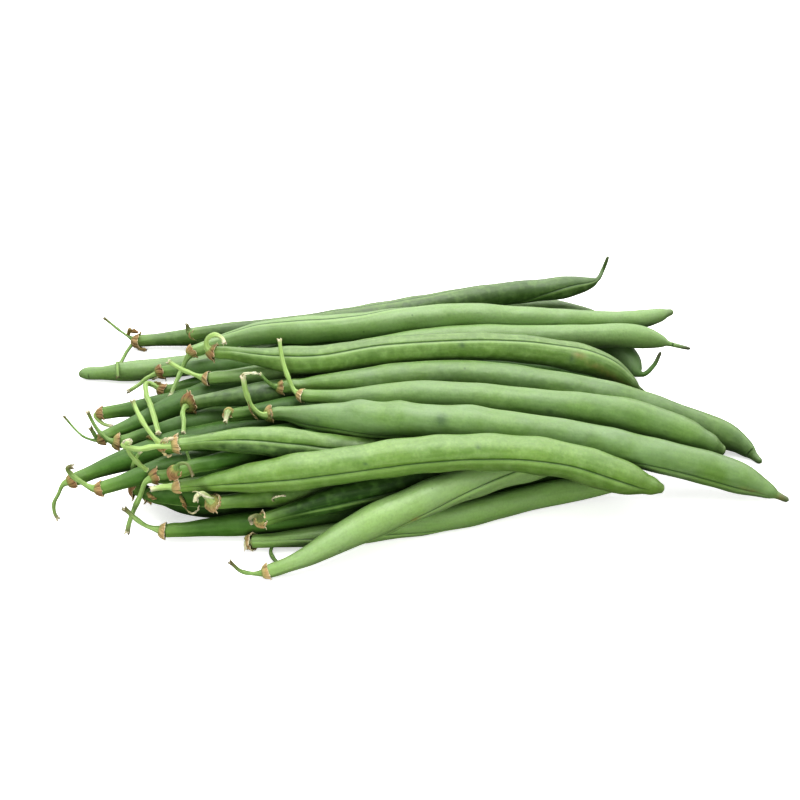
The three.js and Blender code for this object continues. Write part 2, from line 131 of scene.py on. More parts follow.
# Matt white card: nearly white and without gloss, with faint fibres a millimetre long that hardly show.
card, tree, shader = new_material("matt_white_card")
fibre = add(tree, "ShaderNodeTexNoise", {
    "Vector": add(tree, "ShaderNodeTexCoord").outputs["Object"], "Scale": 900.0})
tree.links.new(
    add(tree, "ShaderNodeMix", {
        0: fibre.outputs["Fac"], 6: paint("#F7F7F5"), 7: paint("#FBFBFA")},
        data_type="RGBA").outputs[2],
    shader.inputs["Base Color"])
shader.inputs["Roughness"].default_value = 0.9
# It glows a little by itself, so that it stays nearly white in the soft light.
shader.inputs["Emission Color"].default_value = (1, 1, 1, 1)
shader.inputs["Emission Strength"].default_value = 0.55
bm = bmesh.new()
bmesh.ops.create_grid(bm, x_segments=8, y_segments=8, size=CARD_REACH)
bmesh.ops.translate(bm, verts=bm.verts, vec=(0, 0, -CARD_BELOW))
mesh = bpy.data.meshes.new("floor")
bm.to_mesh(mesh)
bm.free()
mesh.materials.append(card)
floor = bpy.data.objects.new("floor", mesh)
# It throws no light back up, which keeps the undersides of the pods and the gaps between them dark.
floor.visible_diffuse = floor.visible_glossy = floor.visible_shadow = False
bpy.context.scene.collection.objects.link(floor)


# Pods
# Each pod is a round, slightly flattened tube of crisp green flesh under a thin waxy skin. Two valves
# grew together along two seams, and the seeds inside push it out here and there.
BEANS = [f"bean_{number:02d}" for number in range(1, 34)]
# Each ring of a solid has ten points, and its sixth ring is where the stem ends and the calyx grips it.
RING_POINTS = 10
STEM_END = 6


def course_of(node):
    """Middles and radii of the rings of a bean's solid, from the stem's free end to the beak's end. The
    first and the last are the single points that close it."""
    bm = bmesh.new()
    bm.from_mesh(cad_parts[node].data)
    bmesh.ops.remove_doubles(bm, verts=bm.verts, dist=1e-6)
    poles = [v for v in bm.verts if len(v.link_edges) == RING_POINTS]

    def walk(pole):
        seen, front, middles, radii = {pole}, [pole], [], []
        while front:
            ring = np.array([v.co for v in front])
            middles.append(ring.mean(0))
            radii.append(np.linalg.norm(ring - ring.mean(0), axis=1).max())
            near = {e.other_vert(v) for v in front for e in v.link_edges}
            front = sorted(near - seen, key=lambda v: v.index)
            seen |= near
        return np.array(middles), np.array(radii)

    # The stem's first ring is wider than the beak's.
    middles, radii = max((walk(p) for p in poles), key=lambda run: run[1][1])
    bm.free()
    return middles, radii


def smooth(knots, values, at, capped=False):
    """A smooth run through the values at the knots. A capped run never swings past a value."""
    slopes = np.gradient(values, knots, axis=0)
    if capped:
        step = np.diff(values) / np.diff(knots)
        turn = step[1:] * step[:-1] <= 0
        slopes[1:-1][turn] = 0
        limit = 3 * np.minimum(abs(step[1:]), abs(step[:-1]))
        slopes[1:-1] = np.clip(slopes[1:-1], -limit, limit)
    i = np.clip(np.searchsorted(knots, at) - 1, 0, len(knots) - 2)
    span = knots[i + 1] - knots[i]
    t = (at - knots[i]) / span
    if values.ndim > 1:
        t, span = t[:, None], span[:, None]
    return ((2 * t ** 3 - 3 * t ** 2 + 1) * values[i] + (t ** 3 - 2 * t ** 2 + t) * span * slopes[i]
            + (3 * t ** 2 - 2 * t ** 3) * values[i + 1] + (t ** 3 - t ** 2) * span * slopes[i + 1])


def lengths(middles):
    """How far along its course each middle is."""
    return np.concatenate([[0], np.cumsum(np.linalg.norm(np.diff(middles, axis=0), axis=1))])


EYE = np.array(camera.location)


def facing_frame(middles, turn):
    """At each middle, the direction `turn` radians below the one that faces the camera, and the next
    direction a quarter turn further round."""
    along = np.gradient(middles, axis=0)
    along /= np.linalg.norm(along, axis=1)[:, None]
    front = EYE - middles
    front -= (front * along).sum(1)[:, None] * along
    front /= np.linalg.norm(front, axis=1)[:, None]
    below = np.cross(front, along)
    # Whichever way the course runs, this side is the lower one.
    below *= np.sign(-below[:, 2:].sum() or 1)
    turn = turn[:, None]
    first = front * np.cos(turn) + below * np.sin(turn)
    second = -front * np.sin(turn) + below * np.cos(turn)
    return first, second


def skin(name, places, layers):
    """A tube or a strip through rows of places. Places that coincide are merged, which closes a tube along
    its side, and its ends where a row is one point. layers are per-vertex numbers for the material."""
    rows, columns = places.shape[:2]
    bm = bmesh.new()
    bmesh.ops.create_grid(bm, x_segments=columns - 1, y_segments=rows - 1, size=0.5, calc_uvs=False)
    bm.verts.ensure_lookup_table()
    uv = bm.loops.layers.uv.new("UVMap")
    for face in bm.faces:
        for loop in face.loops:
            loop[uv].uv = loop.vert.co.xy + Vector((0.5, 0.5))
    for vert, place in zip(bm.verts, places.reshape(-1, 3)):
        vert.co = place
    for layer_name, values in layers.items():
        layer = bm.verts.layers.float.new(layer_name)
        for vert, value in zip(bm.verts, np.broadcast_to(values, (rows, columns)).reshape(-1)):
            vert[layer] = value
    bmesh.ops.remove_doubles(bm, verts=bm.verts, dist=1e-7)
    bmesh.ops.recalc_face_normals(bm, faces=bm.faces)
    for face in bm.faces:
        face.smooth = True
    mesh = bpy.data.meshes.new(name)
    bm.to_mesh(mesh)
    bm.free()
    piece = bpy.data.objects.new(name, mesh)
    bpy.context.scene.collection.objects.link(piece)
    return piece


def bell(x, width):
    """1 where x is 0, falling to 0 over about twice the width."""
    return np.exp(-(x / width) ** 2)


def pod_material(name, body, shade, pale, gloss):
    """Bean pod skin: thin waxed plant skin, silky rather than glossy, mottled along its length, with a
    pale bloom in places and small brown scars. The seam's groove is darkened, a painted shade, and the
    welt below it lightened, a painted highlight. The deep layer darkens it, partly as its own deeper
    green and partly as painted shade."""
    material, tree, shader = new_material(name)
    layer = {n: add(tree, "ShaderNodeAttribute", attribute_name=n).outputs["Fac"] for n in (
        "pale", "deep", "bloom", "crease_shade", "welt_highlight", "neck", "beak", "scar", "smudge", "grain")}
    place = add(tree, "ShaderNodeTexCoord")
    # Clouds 8 mm across, blotches of 2 mm and a fine grain of 0.5 mm, by their cells to the metre. Streaks
    # 1 mm wide and 14 mm long and fibres 0.4 mm wide follow the UV map, which runs once round the pod,
    # about 26 mm, and once along it, about 125 mm. The fourth coordinate makes every pod different.
    pattern = {}
    for key, detail, scale, space in (
            ("clouds", 3, (120, 120, 120), "Object"), ("blotches", 2, (480, 480, 480), "Object"),
            ("grain", 1, (2000, 2000, 2000), "Object"), ("streaks", 3, (26, 9, 1), "UV"),
            ("fibres", 2, (65, 14, 1), "UV")):
        spread = add(tree, "ShaderNodeMapping", {"Vector": place.outputs[space], "Scale": scale})
        pattern[key] = add(tree, "ShaderNodeTexNoise", {
            "Vector": spread.outputs[0], "W": layer["grain"], "Scale": 1.0, "Detail": detail},
            noise_dimensions="4D").outputs["Fac"]
    # The colours lie over each other in this order. Each shows where its pattern passes from the first
    # number to the second, at most as strongly as the third, and only where its layer is set.
    colour = paint(body)
    for key, low, high, strength, where, code in (
            ("clouds", 0.38, 0.62, 0.9, None, shade),
            # Painted shade in part: the deep layer darkens pods and sides that lie in shade, as well as pods
            # of a deeper green.
            (None, 0, 1, 1.0, "deep", "#254411"),
            (None, 0, 1, 1.0, "pale", pale),
            ("blotches", 0.45, 0.7, 0.45, None, pale),
            ("streaks", 0.45, 0.75, 0.35, None, pale),
            ("streaks", 0.5, 0.3, 0.3, None, shade),
            ("grain", 0.4, 0.7, 0.16, None, "#33561F"),
            ("clouds", 0.36, 0.6, 0.5, "bloom", "#96AF86"),
            (None, 0, 1, 1.0, "neck", "#8FB05E"),
            # Painted highlight: the raised welt below the seam is lightened.
            (None, 0, 1, 0.45, "welt_highlight", "#A4C478"),
            # Painted shade: the seam's groove is darkened.
            (None, 0, 1, 0.85, "crease_shade", "#2B4E18"),
            ("blotches", 0.25, 0.5, 0.85, "smudge", "#3F5F38"),
            ("blotches", 0.3, 0.6, 0.6, "scar", "#96763C"),
            (None, 0, 1, 1.0, "beak", "#565C40")):
        share = layer[where] if where else 1.0
        if key:
            share = add(tree, "ShaderNodeMath", {0: share, 1: add(tree, "ShaderNodeMapRange", {
                "Value": pattern[key], "From Min": low, "From Max": high}).outputs[0]},
                operation="MULTIPLY").outputs[0]
        share = add(tree, "ShaderNodeMath", {0: share, 1: strength}, operation="MULTIPLY").outputs[0]
        colour = add(tree, "ShaderNodeMix", {0: share, 6: colour, 7: paint(code)},
                     data_type="RGBA").outputs[2]
    # Lenticels: dark dots half a millimetre across, which is as fine as shows here, two or so on a pod.
    dots = add(tree, "ShaderNodeTexVoronoi", {"Vector": place.outputs["Object"], "Scale": 230.0})
    near = add(tree, "ShaderNodeMapRange", {
        "Value": dots.outputs["Distance"], "From Min": 0.09, "From Max": 0.04, "To Max": 0.6})
    few = add(tree, "ShaderNodeMapRange", {
        "Value": add(tree, "ShaderNodeSeparateColor", {0: dots.outputs["Color"]}).outputs[0],
        "From Min": 0.9, "From Max": 0.92})
    speck = add(tree, "ShaderNodeMath", {0: near.outputs[0], 1: few.outputs[0]}, operation="MULTIPLY")
    colour = add(tree, "ShaderNodeMix", {0: speck.outputs[0], 6: colour, 7: paint("#46652F")},
                 data_type="RGBA").outputs[2]
    tree.links.new(colour, shader.inputs["Base Color"])
    rough = add(tree, "ShaderNodeMapRange", {
        "Value": pattern["blotches"], "From Min": 0.3, "From Max": 0.7, "To Min": 0.38, "To Max": 0.52})
    tree.links.new(rough.outputs[0], shader.inputs["Roughness"])
    # Fibres under the skin, 0.4 mm across and many millimetres long, over dimples of 2 mm and soft hollows.
    relief = None
    for key, strength, deep in (("clouds", 0.6, 1.2), ("blotches", 0.6, 0.26), ("fibres", 0.35, 0.12)):
        bump = add(tree, "ShaderNodeBump", {
            "Height": pattern[key], "Strength": strength, "Distance": deep * MM})
        if relief:
            tree.links.new(relief, bump.inputs["Normal"])
        relief = bump.outputs[0]
    tree.links.new(relief, shader.inputs["Normal"])
    shader.inputs["IOR"].default_value = 1.5
    shader.inputs["Specular IOR Level"].default_value = gloss
    shader.inputs["Coat Weight"].default_value = 0.6 * gloss
    shader.inputs["Coat Roughness"].default_value = 0.5
    shader.inputs["Subsurface Weight"].default_value = 0.12
    shader.inputs["Subsurface Radius"].default_value = (0.5, 1.0, 0.2)
    shader.inputs["Subsurface Scale"].default_value = 1.2 * MM
    return material


POD_MATERIALS = {
    "pod_light": pod_material("waxed_pod_skin_light", "#7C9E46", "#6B8F38", "#9AB972", 1.0),
    "pod_mid": pod_material("waxed_pod_skin_mid", "#698C39", "#55792B", "#89AA63", 0.95),
    # The deep skin is partly the darker green of some pods and partly painted shade: it is also given to pods
    # that lie in the heap's shade.
    "pod_deep": pod_material("waxed_pod_skin_deep_and_shaded", "#466E24", "#38601A", "#658A44", 0.45),
}

# Each row is one pod: its slot, then its tone, from -1 for the deepest green to 1 for the palest, how much
# bloom it has, and its seam: at shares of its length, the degrees from the line that faces the camera down
# to the seam, and how deep the pod is folded in there, as a share of its radius. The tone is partly the
# pod's own green and partly painted light: low tones stand for shade that falls on pods lying under others,
# as bean_26 under bean_01, and high ones brighten pods that the lamps leave too dark.
PODS = {
    "bean_01": ("pod_light", 0.0, 0.1, [(0, 20, 0.14), (0.12, 22, 0.12), (0.35, 27, 0.05), (0.55, 26, 0.03),
                                        (0.72, 17, 0.03), (0.9, 18, 0.05), (0.97, 30, 0.05)]),
    "bean_02": ("pod_mid", 0.3, 0.7, [(0, 52, 0.1), (0.1, 52, 0.08), (0.24, 66, 0.05), (0.38, 88, 0.03),
                                      (0.55, 85, 0.03), (0.7, 44, 0.03), (0.85, 42, 0.03), (1, 30, 0.02)]),
    "bean_03": ("pod_mid", 0.4, 0.35, [(0, 88, 0.03), (1, 86, 0.03)]),
    "bean_04": ("pod_mid", 0.1, 0.4, [(0, 92, 0.03), (1, 86, 0.03)]),
    "bean_05": ("pod_light", -0.27, 0.1, [(0, -22, 0.1), (0.17, -16, 0.08), (0.35, -28, 0.08),
                                         (0.52, -25, 0.07), (0.7, -35, 0.05), (0.87, -46, 0.03),
                                         (1, -50, 0.02)]),
    "bean_06": ("pod_mid", 1.0, 0.5, [(0, -60, 0.04), (0.3, -50, 0.03), (0.45, -85, 0.03), (1, -88, 0.03)]),
    "bean_07": ("pod_mid", -0.52, 0.0, [(0, 85, 0.03), (0.7, 80, 0.03), (0.85, 0, 0.05), (1, 0, 0.03)]),
    "bean_08": ("pod_mid", -0.17, 0.2, [(0, 85, 0.03), (1, 88, 0.03)]),
    "bean_09": ("pod_mid", 1.0, 0.2, [(0, 88, 0.03), (1, 80, 0.03)]),
    "bean_10": ("pod_deep", 1.0, 0.9, [(0, 60, 0.03), (1, 70, 0.03)]),
    "bean_11": ("pod_deep", 0.3, 0.2, [(0, 75, 0.03), (1, 60, 0.03)]),
    "bean_12": ("pod_mid", 0.7, 0.5, [(0, 80, 0.03), (1, 80, 0.03)]),
    "bean_13": ("pod_deep", 0.4, 0.1, [(0, 60, 0.03), (1, 60, 0.03)]),
    "bean_14": ("pod_mid", -0.78, 0.1, [(0, 80, 0.03), (1, 80, 0.03)]),
    "bean_15": ("pod_deep", 0.1, 0.1, [(0, 40, 0.05), (1, 60, 0.03)]),
    "bean_16": ("pod_deep", 0.5, 0.1, [(0, 50, 0.03), (1, 70, 0.03)]),
    "bean_17": ("pod_deep", 0.6, 0.1, [(0, 90, 0.03), (1, 90, 0.03)]),
    "bean_18": ("pod_light", 0.0, 0.2, [(0, -5, 0.12), (0.1, -4, 0.16), (0.23, 0, 0.18), (0.34, -8, 0.16),
                                        (1, -30, 0.05)]),
    "bean_19": ("pod_deep", 0.3, 0.0, [(0, 80, 0.03), (1, 80, 0.03)]),
    "bean_20": ("pod_deep", 0.5, 0.1, [(0, 70, 0.03), (1, 80, 0.03)]),
    "bean_21": ("pod_deep", -0.15, 0.1, [(0, 50, 0.03), (1, 80, 0.03)]),
    "bean_22": ("pod_deep", -0.15, 0.1, [(0, 50, 0.03), (1, 80, 0.03)]),
    "bean_23": ("pod_deep", -0.15, 0.1, [(0, 50, 0.03), (1, 80, 0.03)]),
    "bean_24": ("pod_deep", -0.15, 0.1, [(0, 70, 0.03), (1, 80, 0.03)]),
    "bean_25": ("pod_mid", -0.09, 0.1, [(0, 80, 0.03), (1, 80, 0.03)]),
    "bean_26": ("pod_deep", -1.0, 0.0, [(0, 20, 0.08), (0.2, 30, 0.1), (1, 60, 0.03)]),
    "bean_27": ("pod_deep", 0.3, 0.0, [(0, 70, 0.03), (1, 80, 0.03)]),
    "bean_32": ("pod_mid", 1.0, 0.3, [(0, 0, 0.08), (0.3, 40, 0.05), (0.6, 85, 0.03), (1, 88, 0.03)]),
    "bean_33": ("pod_light", 1.0, 0.6, [(0, 85, 0.03), (0.35, 65, 0.03), (0.5, 42, 0.04), (0.6, 24, 0.05),
                                        (0.71, 10, 0.05), (0.85, -5, 0.04), (1, 0, 0.03)]),
}
# The pods that other pods hide, from 28 to 31.
HIDDEN_POD = ("pod_deep", 0.0, 0.1, [(0, 80, 0.03), (1, 85, 0.03)])
# Brown scars, dark bruises, painted shade (deep) on sides that lie in shade, and bulges: the share of the
# pod's length, degrees below the facing line, half the length in mm and half the width in degrees. A bulge
# rises by BULGE_HEIGHT.
BULGE_HEIGHT = 0.6 * MM
MARKS = {
    "bean_01": [("smudge", 0.584, -18, 0.5, 7), ("smudge", 0.36, 4, 0.4, 4)],
    "bean_02": [("smudge", 0.314, -7, 1.3, 20), ("scar", 0.918, 30, 2.6, 9), ("scar", 0.985, 0, 1.2, 120),
                ("smudge", 0.09, 20, 0.5, 8), ("bulge", 0.159, -80, 3, 60), ("bulge", 0.235, -80, 3, 60),
                ("bulge", 0.37, -80, 4, 50), ("bulge", 0.06, 80, 6, 50), ("bulge", 0.11, 80, 9, 50),
                ("bulge", 0.18, 75, 10, 50)],
    "bean_03": [("smudge", 0.55, 30, 0.6, 12), ("bulge", 0.71, 80, 9, 45), ("bulge", 0.79, 80, 7, 45),
                ("bulge", 0.915, -60, 6, 80), ("bulge", 0.94, -50, 5, 80)],
    "bean_04": [("bulge", 0.62, -70, 9, 45), ("bulge", 0.7, -80, 9, 45), ("bulge", 0.92, -60, 6, 80)],
    "bean_05": [("scar", 0.815, -12, 1.6, 12), ("scar", 0.868, 12, 4.0, 10), ("scar", 0.9, 34, 3.6, 14),
                ("scar", 0.94, 20, 2.2, 12), ("smudge", 0.544, -4, 0.8, 12), ("smudge", 0.8, 10, 0.7, 16)],
    "bean_06": [("smudge", 0.72, 40, 0.7, 16)],
    "bean_09": [("smudge", 0.45, 10, 0.5, 10)],
    # Painted shade: these deep marks darken bean_18's lower valve and the part of it that runs under the pods
    # in front.
    "bean_18": [("deep", 0.2, 44, 22, 38), ("deep", 0.4, 42, 22, 40), ("deep", 0.6, 0, 16, 110)],
    "bean_33": [("scar", 0.382, 62, 0.9, 9)],
}
# How dark the beak is, and how blunt the tip, from 0 for the solid's own to 1. The rest are as OTHER_TIP.
TIPS = {"bean_01": (0.1, 0.7), "bean_02": (0.75, 0.25), "bean_03": (0.1, 0.85), "bean_04": (0.2, 0.3),
        "bean_06": (0.4, 0.4), "bean_07": (0.6, 0.0), "bean_09": (1.0, 0.0),
        "bean_10": (1.0, 0.0), "bean_12": (0.05, 0.45)}
OTHER_TIP = (0.5, 0.0)
# The radii of a fully blunt tip's last four rings, and those of the neck's first two, under the calyx.
BLUNT_RADII = np.array([2.5, 2.1, 1.7, 1.2]) * MM
NECK_RADII = np.array([1.6, 1.75]) * MM
# How far in mm a neck reaches back into its calyx, where that sits far enough back to leave a gap.
NECKS = {"bean_01": 0.7, "bean_02": 0.5, "bean_03": 0.4, "bean_04": 0.5, "bean_06": 0.4, "bean_10": 1.1,
         "bean_11": 0.9, "bean_14": 0.7, "bean_16": 0.7, "bean_17": 0.5, "bean_18": 1.1, "bean_25": 0.4,
         "bean_32": 0.5, "bean_33": 0.5}
# The angles round a pod where its skin has points, closest together at the two seams, which are at 0 and pi.
SEAM_SPREAD = (0, 0.018, 0.04, 0.07, 0.11, 0.17, 0.26, 0.38, 0.52, 0.68, 0.86, 1.08, 1.32)
quarter_round = [*SEAM_SPREAD, math.pi / 2]
half_round = quarter_round + [math.pi - angle for angle in reversed(quarter_round[:-1])]
ROUND = np.array([-angle for angle in reversed(half_round)] + half_round[1:])


def build_pod(node, slot, tone, bloom, seam):
    """One pod: a tube over the solid's course, swollen by its seeds and creased along its two seams."""
    dice = random.Random(node)
    dark_beak, blunt = TIPS.get(node, OTHER_TIP)
    course, radii = course_of(node)
    middles, radii = course[STEM_END:].copy(), radii[STEM_END:].copy()
    run = lengths(course)
    middles[0] = smooth(run, course, run[[STEM_END]] - NECKS.get(node, 0) * MM)[0]
    radii[:2] = NECK_RADII
    radii[-5:-1] = radii[-5:-1] * (1 - blunt) + BLUNT_RADII * blunt
    knots = lengths(middles)
    end = knots[-1]
    # Rings every 0.8 mm, and closer ones where the neck starts and over the last 6 mm.
    steps = np.arange(0, end, 0.8 * MM)
    at = np.unique(np.concatenate([steps, [0.1 * MM, 0.3 * MM], np.linspace(end - 6 * MM, end, 22)]))
    centre = smooth(knots, middles, at)
    radius = smooth(knots, radii, at, capped=True)
    radius[0] = radius[-1] = 0
    # Shares of the pod's length are counted from the collar of its solid.
    share = (at - knots[1]) / (end - knots[1])
    shares = np.array([point[0] for point in seam], float)
    turn = smooth(shares, np.radians([point[1] for point in seam]), share)
    fold = smooth(shares, np.array([point[2] for point in seam]), share)[:, None]
    first, second = facing_frame(centre, turn)
    # The seeds swell the pod every 10 to 14 mm, and it waves a little as it grew.
    swell = np.zeros(len(at))
    seed_at = dice.uniform(14, 20) * MM
    while seed_at < end - 12 * MM:
        swell += dice.uniform(0.15, 0.55) * MM * bell(at - seed_at, 4 * MM)
        seed_at += dice.uniform(9.5, 14) * MM
    swell += 0.1 * MM * np.sin(at / (5.3 * MM) + dice.uniform(0, 6)) * np.sin(at / (13 * MM))
    swell = (swell - 0.18 * MM) * np.clip(radius / (3.5 * MM), 0, 1)
    # How far round from the nearer seam each point is. The far seam is the shallower one, and both fade out
    # at the neck and before the tip.
    around = ROUND[None, :]
    facing = abs(around) <= math.pi / 2
    past = np.where(facing, around, math.pi - abs(around))
    depth = np.where(facing, 1.0, 0.6) * np.clip((at - 4 * MM) / (9 * MM), 0.35, 1)[:, None]
    depth = depth * np.clip((end - 3 * MM - at) / (8 * MM), 0, 1)[:, None]
    # A sharp line, the welt of the stringy suture below it, and the wide fold that both lie in.
    groove = 0.035 * bell(past, 0.04) + 0.012 * bell(past - 0.42, 0.08) - 0.02 * bell(past - 0.21, 0.1)
    out = radius[:, None] * (1 - depth * (groove + fold * np.exp(-abs(past) / np.where(past > 0, 0.5, 0.3))))
    # The stem's ribs run on over the neck, and the seeds push out the sides more than the seams.
    ribs = 0.07 * MM * bell(at, 13 * MM)[:, None] * np.cos(7 * around + dice.uniform(0, 6))
    bulge = swell[:, None] * (0.35 + 0.65 * np.sin(around) ** 2) + ribs
    out = out + bulge * (radius > 0)[:, None]
    # The deep layer comes from a low tone and the deep marks: partly the pod's deeper green, partly painted
    # shade.
    marks = {"scar": np.zeros_like(out), "smudge": np.zeros_like(out), "bulge": np.zeros_like(out),
             "deep": np.full_like(out, max(-tone, 0))}
    for kind, mark_share, degrees, long_mm, wide in MARKS.get(node, ()):
        aside = np.degrees(around + turn[:, None]) - degrees
        marks[kind] += (bell((share - mark_share)[:, None] * end, long_mm * MM)
                        * bell((aside + 180) % 360 - 180, wide))
    out = out + BULGE_HEIGHT * marks["bulge"]
    places = (centre[:, None] + out[..., None] * (
        first[:, None] * np.cos(around)[..., None] + second[:, None] * np.sin(around)[..., None]))
    places[..., 2] = np.maximum(places[..., 2], 0)
    pod = skin(node + "_pod", places, {
        # Painted shade: this layer darkens the seam's groove.
        "crease_shade": depth * bell(past, 0.045),
        # Painted highlight: this layer lightens the raised strip below the seam.
        "welt_highlight": depth * bell(past - 0.2, 0.12),
        "pale": max(tone, 0),
        "deep": np.clip(marks["deep"], 0, 1),
        "bloom": bloom,
        "neck": (0.5 * bell(at, 5 * MM))[:, None],
        "beak": np.clip((at - end + 4.5 * MM) / (3.5 * MM), 0, 1)[:, None] * dark_beak,
        "scar": marks["scar"],
        "smudge": marks["smudge"],
        "grain": dice.uniform(0, 40),
    })
    pod.data.materials.append(POD_MATERIALS[slot])
    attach(pod, "root")
    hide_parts(node)


for bean in BEANS:
    build_pod(bean, *PODS.get(bean, HIDDEN_POD))


# Stems
# Each bean hung by a thin ribbed stalk, tough and pale green. It bent as it dried, and it is torn and
# whitish, or dark and shrivelled, where it was picked. A few stalks broke off and lie among the others.
def stalk_material():
    """Fresh green plant stalk: matt, ribbed and fibrous, yellower than the pod, with painted shade in the
    hollows between its ribs, straw-coloured or brown at its torn end."""
    material, tree, shader = new_material("ribbed_green_stalk")
    layer = {n: add(tree, "ShaderNodeAttribute", attribute_name=n).outputs["Fac"] for n in (
        "rib", "torn", "withered", "yellow", "grain")}
    # Fibres 0.3 mm wide: the UV map runs once round the stalk, about 3.5 mm, and once along it.
    spread = add(tree, "ShaderNodeMapping", {
        "Vector": add(tree, "ShaderNodeTexCoord").outputs["UV"], "Scale": (12.0, 10.0, 1.0)})
    fibres = add(tree, "ShaderNodeTexNoise", {
        "Vector": spread.outputs[0], "W": layer["grain"], "Scale": 1.0, "Detail": 3.0},
        noise_dimensions="4D").outputs["Fac"]
    strands = add(tree, "ShaderNodeMapRange", {
        "Value": fibres, "From Min": 0.4, "From Max": 0.7, "To Max": 0.45})
    # Painted shade: the hollows between the ribs turn a darker green.
    hollow_shade = add(tree, "ShaderNodeMapRange", {
        "Value": layer["rib"], "From Min": 0.2, "From Max": 1.0, "To Max": 0.3})
    colour = paint("#668A48")
    for share, code in (
            (layer["yellow"], "#BAD487"), (strands.outputs[0], "#C6DB9C"), (hollow_shade.outputs[0], "#66903F"),
            (layer["withered"], "#6A5A40"), (layer["torn"], "#E3DBC0")):
        colour = add(tree, "ShaderNodeMix", {0: share, 6: colour, 7: paint(code)},
                     data_type="RGBA").outputs[2]
    tree.links.new(colour, shader.inputs["Base Color"])
    tree.links.new(add(tree, "ShaderNodeBump", {
        "Height": fibres, "Strength": 0.4, "Distance": 0.1 * MM}).outputs[0], shader.inputs["Normal"])
    shader.inputs["Roughness"].default_value = 0.55
    shader.inputs["Subsurface Weight"].default_value = 0.1
    shader.inputs["Subsurface Radius"].default_value = (0.5, 1.0, 0.2)
    shader.inputs["Subsurface Scale"].default_value = 0.6 * MM
    return material


STALK_MATERIAL = stalk_material()


def build_stalk(name, middles, radius, foot, yellow, torn, dried):
    """A stalk along the middles, from its free end to its foot, which swells by `foot` metres. torn and
    dried are how far, in metres, its free end is whitish and brown."""
    dice = random.Random(name)
    knots = lengths(middles)
    end = knots[-1]
    at = np.unique(np.concatenate([np.arange(0, end, 0.4 * MM), [0.1 * MM, 0.22 * MM, end]]))
    centre = smooth(knots, middles, at)
    around = np.linspace(-math.pi, math.pi, 31)[None, :]
    first, second = facing_frame(centre, np.linspace(0, dice.uniform(-1.5, 1.5), len(at)))
    phase = dice.uniform(0, 6)
    rib = (np.cos(5 * around + phase) + 0.6 * np.cos(2 * around - phase)) / 1.6 * np.ones((len(at), 1))
    # Knuckles, where a leaf once grew, a slightly thicker torn end, and the foot.
    thick = radius * (1 + 0.06 * np.sin(at / (2.2 * MM) + phase) + 0.25 * bell(at, 0.7 * MM)
                      + 0.22 * bell(at - dice.uniform(0.35, 0.6) * end, 1.1 * MM))
    thick = thick + foot * bell(at - end + 0.9 * MM, 1.7 * MM)
    out = thick[:, None] * (0.9 + 0.1 * rib)
    frayed = 0.6 * MM * np.abs(np.sin(1.5 * around + phase)) + 0.25 * MM * np.sin(4 * around)
    slip = frayed * bell(at, 0.6 * MM)[:, None]
    out[0] = out[-1] = 0
    slip[0] = 0.5 * MM
    along = np.gradient(centre, axis=0)
    along /= np.linalg.norm(along, axis=1)[:, None]
    places = (centre[:, None] + slip[..., None] * along[:, None] + out[..., None] * (
        first[:, None] * np.cos(around)[..., None] + second[:, None] * np.sin(around)[..., None]))
    places[..., 2] = np.maximum(places[..., 2], 0)
    # Where torn or dried is 0, only the very end is coloured.
    stalk = skin(name, places, {
        # This layer is 1 in the hollows between the ribs, where the material paints shade.
        "rib": 0.5 - 0.5 * rib,
        "torn": 0.9 * bell(at, max(torn, 1e-6))[:, None],
        "withered": 0.85 * bell(at, max(dried, 1e-6))[:, None],
        "yellow": yellow,
        "grain": dice.uniform(0, 40),
    })
    stalk.data.materials.append(STALK_MATERIAL)
    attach(stalk, "root")
    return stalk


# How thick each bean's stalk is in mm, how yellow from 0 to 1, and how many mm of its end are torn and
# whitish, and dry and brown. The rest are as OTHER_STALK. All swell at the foot, where they join the pod.
FOOT = 0.55 * MM
OTHER_STALK = (1.1, 0.5, 0.8, 1.0)
STALKS = {
    "bean_01": (1.35, 0.9, 1.6, 0), "bean_02": (1.4, 0.9, 1.8, 0), "bean_03": (1.15, 0.8, 1.0, 0),
    "bean_04": (0.85, 0.1, 0.8, 0), "bean_05": (1.2, 0.85, 2.4, 0), "bean_06": (1.2, 0.35, 1.8, 0),
    "bean_07": (0.8, 0.1, 0, 2.5), "bean_08": (0.75, 0.2, 0, 2.6), "bean_09": (1.2, 0.85, 0.6, 1.2),
    "bean_10": (1.1, 0.55, 0.4, 1.4), "bean_11": (1.4, 0.75, 0.8, 0), "bean_13": (0.85, 0.75, 1.2, 0.5),
    "bean_14": (1.15, 0.55, 0.8, 0), "bean_15": (1.0, 0.4, 2.6, 0), "bean_16": (0.6, 0.1, 0, 2.0),
    "bean_17": (1.0, 0.2, 0.5, 2.0), "bean_18": (1.45, 0.8, 0.8, 0), "bean_19": (0.95, 0.35, 0.4, 2.0),
    "bean_20": (1.2, 0.5, 0, 2.6), "bean_21": (0.8, 0.2, 0, 5.0), "bean_22": (1.2, 0.4, 0.4, 1.6),
    "bean_23": (1.0, 0.5, 0.8, 0), "bean_24": (1.0, 0.3, 0.6, 1.5), "bean_25": (1.3, 0.9, 4.5, 0),
    "bean_26": (0.95, 0.2, 3.0, 9.0), "bean_27": (1.15, 0.4, 0, 2.6), "bean_28": (1.25, 0.85, 0.5, 1.4),
    "bean_32": (0.8, 0.9, 3.0, 0), "bean_33": (0.9, 0.25, 0, 3.0),
}
for bean in BEANS:
    thick, yellow, torn, dried = STALKS.get(bean, OTHER_STALK)
    middles = course_of(bean)[0][:STEM_END + 1]
    stem = build_stalk(bean + "_stem", middles, thick / 2 * MM, FOOT, yellow, torn * MM, dried * MM)
    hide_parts(bean)

